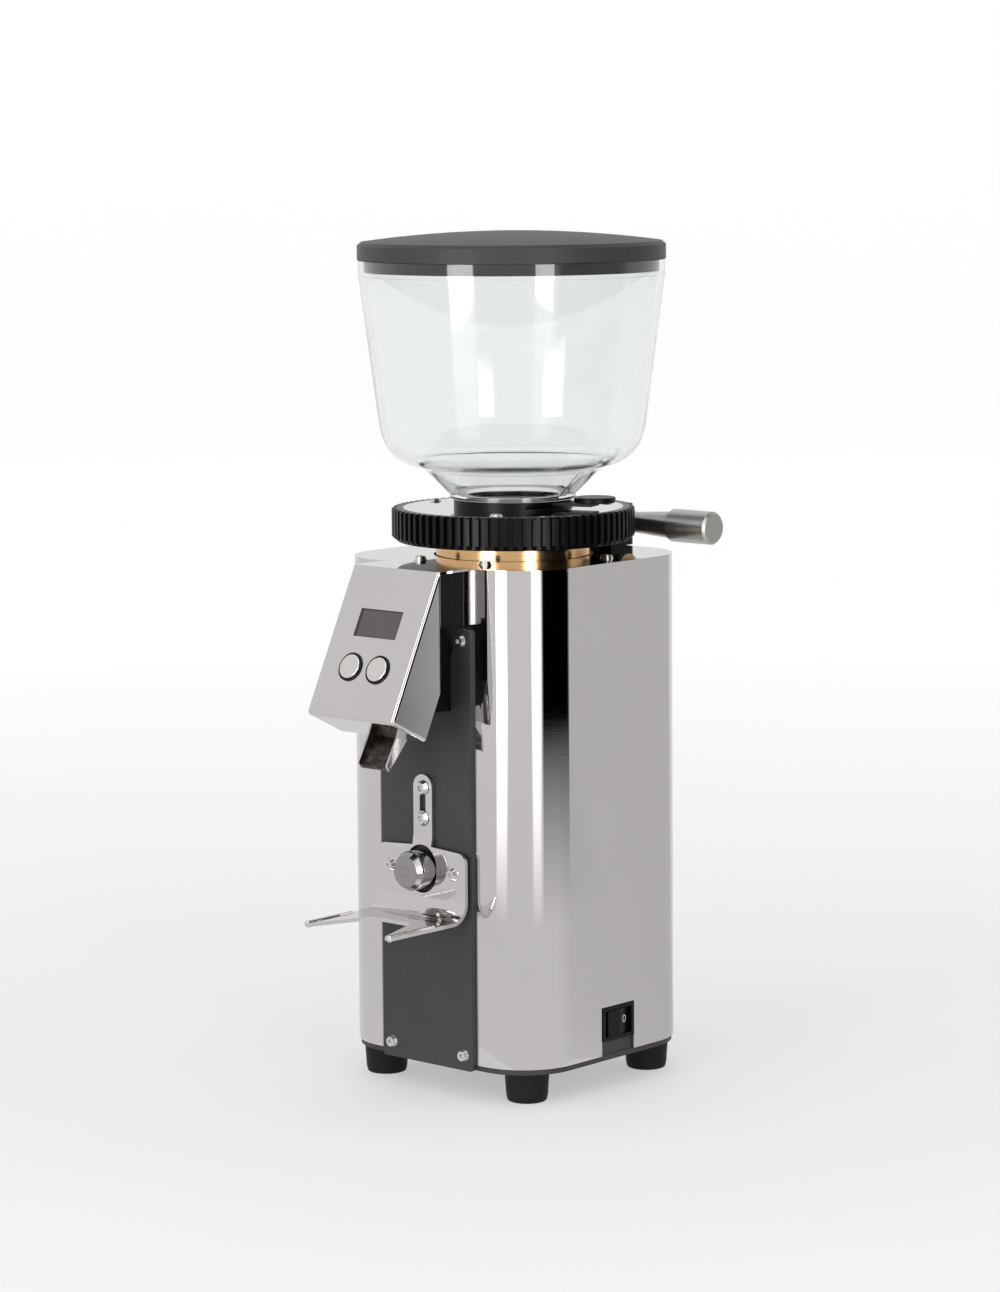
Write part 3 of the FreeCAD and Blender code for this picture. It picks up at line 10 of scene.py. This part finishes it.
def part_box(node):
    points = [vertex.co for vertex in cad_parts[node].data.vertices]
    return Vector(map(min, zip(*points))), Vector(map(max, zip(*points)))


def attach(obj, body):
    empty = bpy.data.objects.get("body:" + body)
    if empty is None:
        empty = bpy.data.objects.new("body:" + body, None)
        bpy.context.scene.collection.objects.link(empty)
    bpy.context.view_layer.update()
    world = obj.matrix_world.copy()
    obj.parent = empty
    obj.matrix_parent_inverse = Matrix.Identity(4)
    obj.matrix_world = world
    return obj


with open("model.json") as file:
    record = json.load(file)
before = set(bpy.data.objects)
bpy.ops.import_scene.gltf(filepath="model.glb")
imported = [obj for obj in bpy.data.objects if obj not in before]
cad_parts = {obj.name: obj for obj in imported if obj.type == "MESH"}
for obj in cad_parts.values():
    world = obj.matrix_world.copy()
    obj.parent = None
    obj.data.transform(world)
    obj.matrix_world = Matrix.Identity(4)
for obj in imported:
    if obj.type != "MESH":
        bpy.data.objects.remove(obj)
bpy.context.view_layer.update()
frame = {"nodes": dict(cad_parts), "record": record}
nodes = frame["nodes"]
record = frame["record"]
slot_of = {row["node"]: row["material_slot"] for row in record["subparts"]}
scene = bpy.context.scene
scene.view_settings.view_transform = "Standard"


def middle_of(node):
    low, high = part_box(node)
    return (low + high) / 2


burr_axis = middle_of("adjusting_ring")         # the upright axis through ring, hopper and lid


# ---------------------------------------------------------------------------------------------
# Materials
# ---------------------------------------------------------------------------------------------
class Nodes:
    """Short calls for building one material's node tree, in metres of the object's own space."""

    def __init__(self, name):
        self.material = bpy.data.materials.new(name)
        self.material.use_nodes = True
        self.tree = self.material.node_tree
        self.shader = self.tree.nodes["Principled BSDF"]
        self.place = self.add("ShaderNodeTexCoord").outputs["Object"]

    def add(self, kind, **inputs):
        node = self.tree.nodes.new(kind)
        for name, value in inputs.items():
            self.feed(node.inputs[name.replace("_", " ")], value)
        return node

    def feed(self, socket, value):
        if isinstance(value, bpy.types.NodeSocket):
            self.tree.links.new(value, socket)
        else:
            socket.default_value = value

    def stretch(self, scale):
        mapping = self.add("ShaderNodeMapping", Vector=self.place)
        mapping.inputs["Scale"].default_value = scale
        return mapping.outputs["Vector"]

    def noise(self, scale, detail=4.0, rough=0.55, place=None):
        node = self.add("ShaderNodeTexNoise", Vector=place or self.place, Scale=scale, Detail=detail,
                        Roughness=rough)
        return node.outputs["Fac"]

    def spread(self, value, low, high, start=0.3, end=0.7):
        """low up to start, high from end on, and even between them."""
        node = self.add("ShaderNodeMapRange", Value=value)
        for name, number in (("From Min", start), ("From Max", end), ("To Min", low), ("To Max", high)):
            node.inputs[name].default_value = number
        return node.outputs["Result"]

    def mix(self, share, first, second):
        node = self.tree.nodes.new("ShaderNodeMix")
        node.data_type = "RGBA"
        self.feed(node.inputs[0], share)
        self.feed(node.inputs[6], first if isinstance(first, bpy.types.NodeSocket) else (*first, 1))
        self.feed(node.inputs[7], second if isinstance(second, bpy.types.NodeSocket) else (*second, 1))
        return node.outputs[2]

    def math(self, operation, *values):
        node = self.tree.nodes.new("ShaderNodeMath")
        node.operation = operation
        for socket, value in zip(node.inputs, values):
            self.feed(socket, value)
        return node.outputs[0]

    def bump(self, height, distance):
        return self.add("ShaderNodeBump", Height=height, Distance=distance, Strength=1.0).outputs["Normal"]

    def from_axis(self):
        """Distance from the upright axis through the origin."""
        node = self.add("ShaderNodeVectorMath")
        node.operation = "LENGTH"
        self.feed(node.inputs[0], self.stretch((1.0, 1.0, 0.0)))
        return node.outputs["Value"]

    def turned(self, center, along="Z"):
        """Coordinates that are alike all round an axis: distance from it, and place along it."""
        parts = self.add("ShaderNodeSeparateXYZ", Vector=self.place)
        names = {"Z": ("X", "Y", "Z"), "X": ("Y", "Z", "X"), "Y": ("X", "Z", "Y")}[along]
        index = {"X": 0, "Y": 1, "Z": 2}
        first, second = (self.math("SUBTRACT", parts.outputs[name], center[index[name]])
                         for name in names[:2])
        square = self.math("ADD", self.math("MULTIPLY", first, first), self.math("MULTIPLY", second, second))
        join = self.add("ShaderNodeCombineXYZ", X=self.math("SQRT", square), Y=parts.outputs[names[2]])
        return join.outputs["Vector"]


def shade(color, factor):
    """The color, lighter or darker by a factor."""
    return tuple(min(1.0, part * factor) for part in color)


def polished(name, color, rough):
    """Mirror-polished sheet with faint smears and hairlines."""
    n = Nodes(name)
    n.shader.inputs["Metallic"].default_value = 1.0
    smears = n.noise(9.0, 3.0, 0.6)
    hairlines = n.noise(60.0, 5.0, 0.7, n.stretch((1.0, 1.0, 22.0)))
    n.feed(n.shader.inputs["Base Color"], n.mix(n.spread(smears, 0, 1), shade(color, 0.96), color))
    base = n.spread(smears, rough * 0.75, rough * 1.35)
    n.feed(n.shader.inputs["Roughness"],
           n.math("ADD", base, n.spread(hairlines, 0.0, rough * 0.5, 0.45, 0.75)))
    n.feed(n.shader.inputs["Normal"], n.bump(hairlines, 0.000004))
    return n.material


def grained(name, color, rough, grain, depth, tone=0.25, speck=0.0, **sockets):
    """Moulded, coated or cast surface with an even grain; grain is its size in metres."""
    n = Nodes(name)
    fine = n.noise(1 / grain, 3.0, 0.6)
    cells = n.add("ShaderNodeTexVoronoi", Vector=n.place, Scale=0.6 / grain).outputs["Distance"]
    broad = n.noise(14.0, 3.0)
    shaded = n.mix(n.spread(broad, 0, 1), shade(color, 1 - tone * 0.5), shade(color, 1 + tone * 0.5))
    shaded = n.mix(n.spread(fine, 0, 0.6), shaded, shade(color, 1 - tone))
    if speck:
        shaded = n.mix(n.spread(cells, speck, 0.0, 0.05, 0.35), shaded, shade(color, 2.4))
    n.feed(n.shader.inputs["Base Color"], shaded)
    n.feed(n.shader.inputs["Roughness"], n.spread(fine, rough * 0.88, rough * 1.14))
    n.feed(n.shader.inputs["Normal"], n.bump(n.math("ADD", fine, n.math("MULTIPLY", cells, 0.7)), depth))
    for socket, value in sockets.items():
        n.shader.inputs[socket.replace("_", " ")].default_value = value
    return n.material


def machined(name, color, rough, center, along="Z", pitch=0.0004, depth=0.000012, tone=0.16):
    """Metal with fine turning marks round an axis; pitch is their size in metres."""
    n = Nodes(name)
    n.shader.inputs["Metallic"].default_value = 1.0
    around = n.turned(center, along)
    marks = n.noise(1 / pitch, 4.0, 0.65, around)
    stains = n.noise(22.0, 4.0, 0.6)
    worn = n.mix(n.spread(marks, 0, 1), shade(color, 1 - tone), shade(color, 1 + tone * 0.4))
    n.feed(n.shader.inputs["Base Color"], n.mix(n.spread(stains, 0, 0.5), worn, shade(color, 0.82)))
    n.feed(n.shader.inputs["Roughness"], n.math("ADD", n.spread(marks, rough * 0.8, rough * 1.25),
                                                n.spread(stains, 0.0, rough * 0.3)))
    n.feed(n.shader.inputs["Normal"], n.bump(marks, depth))
    return n.material


def clear(name, color, rough):
    """Clear plastic with a faint waviness and a little dust."""
    n = Nodes(name)
    n.shader.inputs["Transmission Weight"].default_value = 1.0
    n.shader.inputs["IOR"].default_value = 1.49
    dust = n.noise(40.0, 5.0, 0.65)
    n.feed(n.shader.inputs["Base Color"], n.mix(n.spread(dust, 0, 1), color, shade(color, 0.97)))
    n.feed(n.shader.inputs["Roughness"], n.spread(dust, rough * 0.6, rough * 1.8))
    n.feed(n.shader.inputs["Normal"], n.bump(n.noise(18.0, 1.0), 0.00012))
    return n.material


finishes = {
    "polished_steel": polished("polished_steel", (0.68, 0.667, 0.662), 0.03),
    "screw_steel": machined("screw_steel", (0.72, 0.71, 0.70), 0.2, burr_axis, "Z", 0.0003, 0.000006),
    "black_powder_coat": grained("black_powder_coat", (0.034, 0.031, 0.034), 0.46, 0.0005, 0.00006, 0.3, 0.25,
                                 Specular_IOR_Level=0.35),
    "black_plastic": grained("black_plastic", (0.004, 0.004, 0.005), 0.34, 0.0004, 0.00002,
                             Specular_IOR_Level=0.16),
    "ring_black": grained("ring_black", (0.004, 0.004, 0.0045), 0.3, 0.0006, 0.00002, 0.4,
                          Specular_IOR_Level=0.16),
    "black_rubber": grained("black_rubber", (0.006, 0.0055, 0.006), 0.6, 0.0007, 0.00005, 0.5,
                            Specular_IOR_Level=0.2),
    "lid_grey": grained("lid_grey", (0.040, 0.037, 0.040), 0.45, 0.0004, 0.00004, 0.2,
                        Specular_IOR_Level=0.25),
    "clear_plastic": clear("clear_plastic", (0.93, 0.945, 0.95), 0.02),
    "dark_window": grained("dark_window", (0.060, 0.048, 0.054), 0.12, 0.002, 0.000002, 0.2,
                           Coat_Weight=0.6),
    "key_steel": polished("key_steel", (0.76, 0.745, 0.73), 0.09),
    "brass": machined("brass", (0.88, 0.55, 0.27), 0.14, burr_axis, "Z", 0.0006, 0.00002),
    "bush_bronze": machined("bush_bronze", (0.60, 0.40, 0.20), 0.3, middle_of("worm_bushes"), "X"),
    "knob_steel": machined("knob_steel", (0.58, 0.57, 0.55), 0.27, middle_of("worm_knob"), "X", 0.00035,
                           0.00002, 0.22),
    "burr_steel": machined("burr_steel", (0.52, 0.52, 0.52), 0.3, burr_axis),
    "cast_aluminium": grained("cast_aluminium", (0.60, 0.60, 0.61), 0.42, 0.0015, 0.00008, 0.15,
                              Metallic=1.0),
    "laminated_steel": machined("laminated_steel", (0.36, 0.36, 0.38), 0.35, burr_axis, "Z", 0.0009, 0.0001),
    "circuit_board": grained("circuit_board", (0.02, 0.14, 0.06), 0.3, 0.002, 0.00002, 0.35),
    "capacitor_case": grained("capacitor_case", (0.72, 0.72, 0.70), 0.25, 0.002, 0.00001, 0.06),
    "pin_brass": machined("pin_brass", (0.80, 0.64, 0.36), 0.2, middle_of("inlet_pins"), "Y"),
}
for name, item in nodes.items():
    item.data.materials.clear()
    item.data.materials.append(finishes[slot_of[name]])


# ---------------------------------------------------------------------------------------------
# Pieces
# ---------------------------------------------------------------------------------------------
def new_object(name, mesh):
    item = bpy.data.objects.new(name, mesh)
    scene.collection.objects.link(item)
    return item


def smooth_object(name, build):
    """Turn a bmesh into an object with smooth shading."""
    bmesh.ops.recalc_face_normals(build, faces=build.faces)
    mesh = bpy.data.meshes.new(name)
    build.to_mesh(mesh)
    build.free()
    for face in mesh.polygons:
        face.use_smooth = True
    return new_object(name, mesh)


MARK_STEPS, MARK_SIDES, MARK_FLATNESS = 40, 10, 0.6


def raised_ring(name, body, center, radius, thick, facing, material):
    """A thin raised ring on a face that looks along facing."""
    build = bmesh.new()
    rings = []
    for step in range(MARK_STEPS):
        turn = 2 * math.pi * step / MARK_STEPS
        ring = []
        for corner in range(MARK_SIDES):
            tilt = 2 * math.pi * corner / MARK_SIDES
            reach = radius + thick * math.cos(tilt)
            ring.append(build.verts.new((reach * math.cos(turn), reach * math.sin(turn),
                                         thick * MARK_FLATNESS * math.sin(tilt))))
        rings.append(ring)
    for one, two in zip(rings, rings[1:] + rings[:1]):
        for corner in range(MARK_SIDES):
            following = (corner + 1) % MARK_SIDES
            build.faces.new((one[corner], two[corner], two[following], one[following]))
    item = smooth_object(name, build)
    turned = facing.to_track_quat("Z", "Y").to_matrix().to_4x4()
    item.matrix_world = Matrix.Translation(center) @ turned
    item.data.materials.append(material)
    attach(item, body)


# The printed ring that marks the off side of the mains switch.
MARK_BEHIND, MARK_ABOVE = 0.0048, 0.0007         # from the rocker's middle
MARK_RADIUS, MARK_THICK, MARK_SUNK = 0.00175, 0.00025, 0.00004
rocker_middle = middle_of("rocker")
mark_from = Vector((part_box("rocker")[1].x + 0.01, rocker_middle.y + MARK_BEHIND,
                    rocker_middle.z + MARK_ABOVE))
mark_place, mark_facing = nodes["rocker"].ray_cast(mark_from, Vector((-1, 0, 0)))[1:3]
raised_ring("rocker_mark", "rocker", mark_place - mark_facing * MARK_SUNK, MARK_RADIUS, MARK_THICK,
            mark_facing, grained("mark_white", (0.62, 0.62, 0.62), 0.5, 0.0003, 0.00001, 0.1))

# The spout is dull between its side walls, and its colour there is darkened to brown: painted shade inside
# the channel.
SPOUT_WALL = 0.001
spout_low, spout_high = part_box("spout")
n = Nodes("spout_steel_painted_shade")
n.shader.inputs["Metallic"].default_value = 1.0
sideways = n.math("ABSOLUTE", n.add("ShaderNodeSeparateXYZ", Vector=n.place).outputs["X"])
inner_half = (spout_high.x - spout_low.x) / 2 - SPOUT_WALL
between = n.spread(sideways, 1.0, 0.0, inner_half - 0.0002, inner_half + 0.0001)
channel_shade = n.math("MULTIPLY", between, n.spread(n.noise(260.0, 5.0, 0.6), 0.82, 1.0, 0.35, 0.6))
# Painted shade: the base colour turns dark brown inside the channel.
n.feed(n.shader.inputs["Base Color"], n.mix(channel_shade, (0.66, 0.65, 0.645), (0.055, 0.042, 0.034)))
n.feed(n.shader.inputs["Roughness"], n.spread(channel_shade, 0.06, 0.5, 0.0, 1.0))
n.feed(n.shader.inputs["Normal"], n.bump(n.noise(900.0, 3.0), 0.00002))
nodes["spout"].data.materials[0] = n.material

# The start button's steel is duller than the sheet round it, and its colour is darkened to stand in for the
# dark reflections of its facets: painted shade.
nodes["start_button"].data.materials[0] = machined(
    "button_steel_painted_dark", (0.38, 0.37, 0.365), 0.14, middle_of("start_button"), "Y", 0.0006, 0.00001, 0.3)


# ---------------------------------------------------------------------------------------------
# Studio: a round pale floor that curves up into a soft wall, lights and flats
# ---------------------------------------------------------------------------------------------
TURN_STEPS = 96


def lathe(name, profile):
    """Turn (radius, height) points round the upright axis through the origin."""
    build = bmesh.new()
    rings = []
    for radius, height in profile:
        if radius < 1e-6:
            rings.append([build.verts.new((0, 0, height))])
            continue
        rings.append([build.verts.new((radius * math.cos(2 * math.pi * step / TURN_STEPS),
                                       radius * math.sin(2 * math.pi * step / TURN_STEPS), height))
                      for step in range(TURN_STEPS)])
    for low, high in zip(rings, rings[1:]):
        for step in range(TURN_STEPS):
            corners = [low[step % len(low)], low[(step + 1) % len(low)],
                       high[(step + 1) % len(high)], high[step % len(high)]]
            unique = list(dict.fromkeys(corners))
            if len(unique) > 2:
                build.faces.new(unique)
    return smooth_object(name, build)


FLOOR_RADIUS, SWEEP_RADIUS, SWEEP_STEPS, WALL_TOP = 3.6, 2.4, 24, 7.0
sweep = [(0.0, 0.0), (FLOOR_RADIUS, 0.0)]
for step in range(1, SWEEP_STEPS + 1):
    turn = math.radians(90 * step / SWEEP_STEPS)
    sweep.append((FLOOR_RADIUS + SWEEP_RADIUS * math.sin(turn), SWEEP_RADIUS * (1 - math.cos(turn))))
sweep.append((FLOOR_RADIUS + SWEEP_RADIUS, WALL_TOP))
floor = lathe("studio_floor", sweep)
n = Nodes("studio_paper")
height = n.add("ShaderNodeSeparateXYZ", Vector=n.place).outputs["Z"]
n.shader.inputs["Roughness"].default_value = 0.8
n.feed(n.shader.inputs["Base Color"], n.mix(n.noise(3.0), (0.39, 0.39, 0.39), (0.41, 0.41, 0.41)))
n.shader.inputs["Emission Color"].default_value = (1, 1, 1, 1)
# The paper glows as well as taking light: more up the wall, and less near the object than far from it, which
# paints a soft shadow round its base; near it the glow also lifts the real shadows.
wall_glow = n.spread(height, 0.0, 0.12, 0.02, 1.6)
floor_glow = n.spread(n.from_axis(), 0.41, 0.62, 0.0, 1.7)
glow = n.math("ADD", wall_glow, floor_glow)
n.feed(n.shader.inputs["Emission Strength"], glow)
floor.data.materials.append(n.material)

world = bpy.data.worlds.new("studio")
scene.world = world
world.use_nodes = True
world.node_tree.nodes["Background"].inputs["Color"].default_value = (1.0, 0.995, 0.99, 1)
world.node_tree.nodes["Background"].inputs["Strength"].default_value = 0.3


def from_azimuth(azimuth, distance, height):
    """A place round the object; azimuth 0 is in front of it and 90 is on its right."""
    turn = math.radians(azimuth)
    return Vector((distance * math.sin(turn), -distance * math.cos(turn), height))


def softbox(name, azimuth, distance, height, width, tall, power, aim_height):
    """A rectangular light that faces the upright axis at aim_height and isn't seen itself."""
    light = bpy.data.lights.new(name, "AREA")
    light.shape = "RECTANGLE"
    light.size, light.size_y, light.energy = width, tall, power
    item = new_object(name, light)
    item.location = from_azimuth(azimuth, distance, height)
    aim = Vector((0, 0, aim_height)) - item.location
    item.rotation_euler = aim.to_track_quat("-Z", "Y").to_euler()
    item.visible_camera = False


SOFTBOX_DISTANCE, SOFTBOX_TALL = 1.35, 0.66
for name, azimuth, width, power in (("light_left", 4, 0.47, 5.0), ("light_right", 67, 0.33, 3.4)):
    softbox(name, azimuth, SOFTBOX_DISTANCE, SOFTBOX_TALL / 2, width, SOFTBOX_TALL, power, SOFTBOX_TALL / 2)
softbox("light_top", azimuth=20, distance=0.4, height=2.1, width=1.9, tall=1.9, power=7, aim_height=0.2)

# Flats that stand round the object, with a sheet of the same kind on the floor. They only show as
# reflections: a bright stripe below each upright softbox, black right of the right-hand one, and
# pale grey elsewhere.
FLATS_HOLE, FLATS_RADIUS, FLATS_LOW, FLATS_TOP, FLATS_RISE = 0.13, 1.45, 0.003, 3.2, 0.4
flats = lathe("studio_flats", [(FLATS_HOLE, FLATS_LOW), (FLATS_RADIUS, FLATS_LOW), (FLATS_RADIUS, FLATS_TOP),
                               (0.0, FLATS_TOP + FLATS_RISE)])
for face in flats.data.polygons:
    face.use_smooth = False
for ray in ("camera", "diffuse", "transmission", "shadow"):
    setattr(flats, "visible_" + ray, False)
n = Nodes("studio_flats")
parts = n.add("ShaderNodeSeparateXYZ", Vector=n.place)
angle = n.math("DEGREES", n.math("ARCTAN2", parts.outputs["X"],
                                 n.math("MULTIPLY", parts.outputs["Y"], -1.0)))


def from_angle(start, soft):
    """0 before the azimuth start and 1 after it."""
    return n.spread(angle, 0.0, 1.0, start - soft, start + soft)


# Each row is an azimuth, how soft the change is there, and the change in brightness.
FLATS_STEPS = ((-100, 8, -0.05), (-6, 1, 2.0), (14, 2, -2.0), (60, 2, 1.6), (76, 4, -2.4), (133, 3, 0.62))
level = 0.85
for start, soft, change in FLATS_STEPS:
    level = n.math("ADD", level, n.math("MULTIPLY", from_angle(start, soft), change))
near = n.math("SUBTRACT", 0.76, n.math("MULTIPLY", from_angle(120, 20), 0.14))
away = n.spread(n.from_axis(), 0.0, 1.0, 0.5, 1.35)
level = n.math("ADD", n.math("MULTIPLY", n.math("SUBTRACT", level, near), away), near)
n.shader.inputs["Base Color"].default_value = (0, 0, 0, 1)
n.shader.inputs["Roughness"].default_value = 1.0
n.shader.inputs["Specular IOR Level"].default_value = 0.0
n.shader.inputs["Emission Color"].default_value = (1.0, 0.985, 0.98, 1)
n.feed(n.shader.inputs["Emission Strength"], level)
flats.data.materials.append(n.material)

# ---------------------------------------------------------------------------------------------
# Camera
# ---------------------------------------------------------------------------------------------
CAMERA_AZIMUTH = math.radians(41.96)
CAMERA_DISTANCE, CAMERA_HEIGHT, CAMERA_SIDE = 2.09496, 0.50867, -0.0069
CAMERA_PITCH, CAMERA_ROLL = math.radians(5.36), math.radians(-0.40)
CAMERA_LENS, SENSOR_WIDTH, CAMERA_SHIFT = 110.35, 36.0, -0.12
back = Vector((math.sin(CAMERA_AZIMUTH), -math.cos(CAMERA_AZIMUTH), 0))
right = Vector((math.cos(CAMERA_AZIMUTH), math.sin(CAMERA_AZIMUTH), 0))
ahead = -back * math.cos(CAMERA_PITCH) - Vector((0, 0, math.sin(CAMERA_PITCH)))
above = right.cross(ahead)
across = right * math.cos(CAMERA_ROLL) + above * math.sin(CAMERA_ROLL)
upward = across.cross(ahead)
camera_data = bpy.data.cameras.new("camera")
camera_data.lens, camera_data.sensor_width, camera_data.shift_y = CAMERA_LENS, SENSOR_WIDTH, CAMERA_SHIFT
camera = new_object("camera", camera_data)
axis_place = Vector((0, burr_axis.y, 0))
place = axis_place + back * CAMERA_DISTANCE + right * CAMERA_SIDE + Vector((0, 0, CAMERA_HEIGHT))
rotation = Matrix((across, upward, -ahead)).transposed()
camera.matrix_world = Matrix.Translation(place) @ rotation.to_4x4()
scene.camera = camera
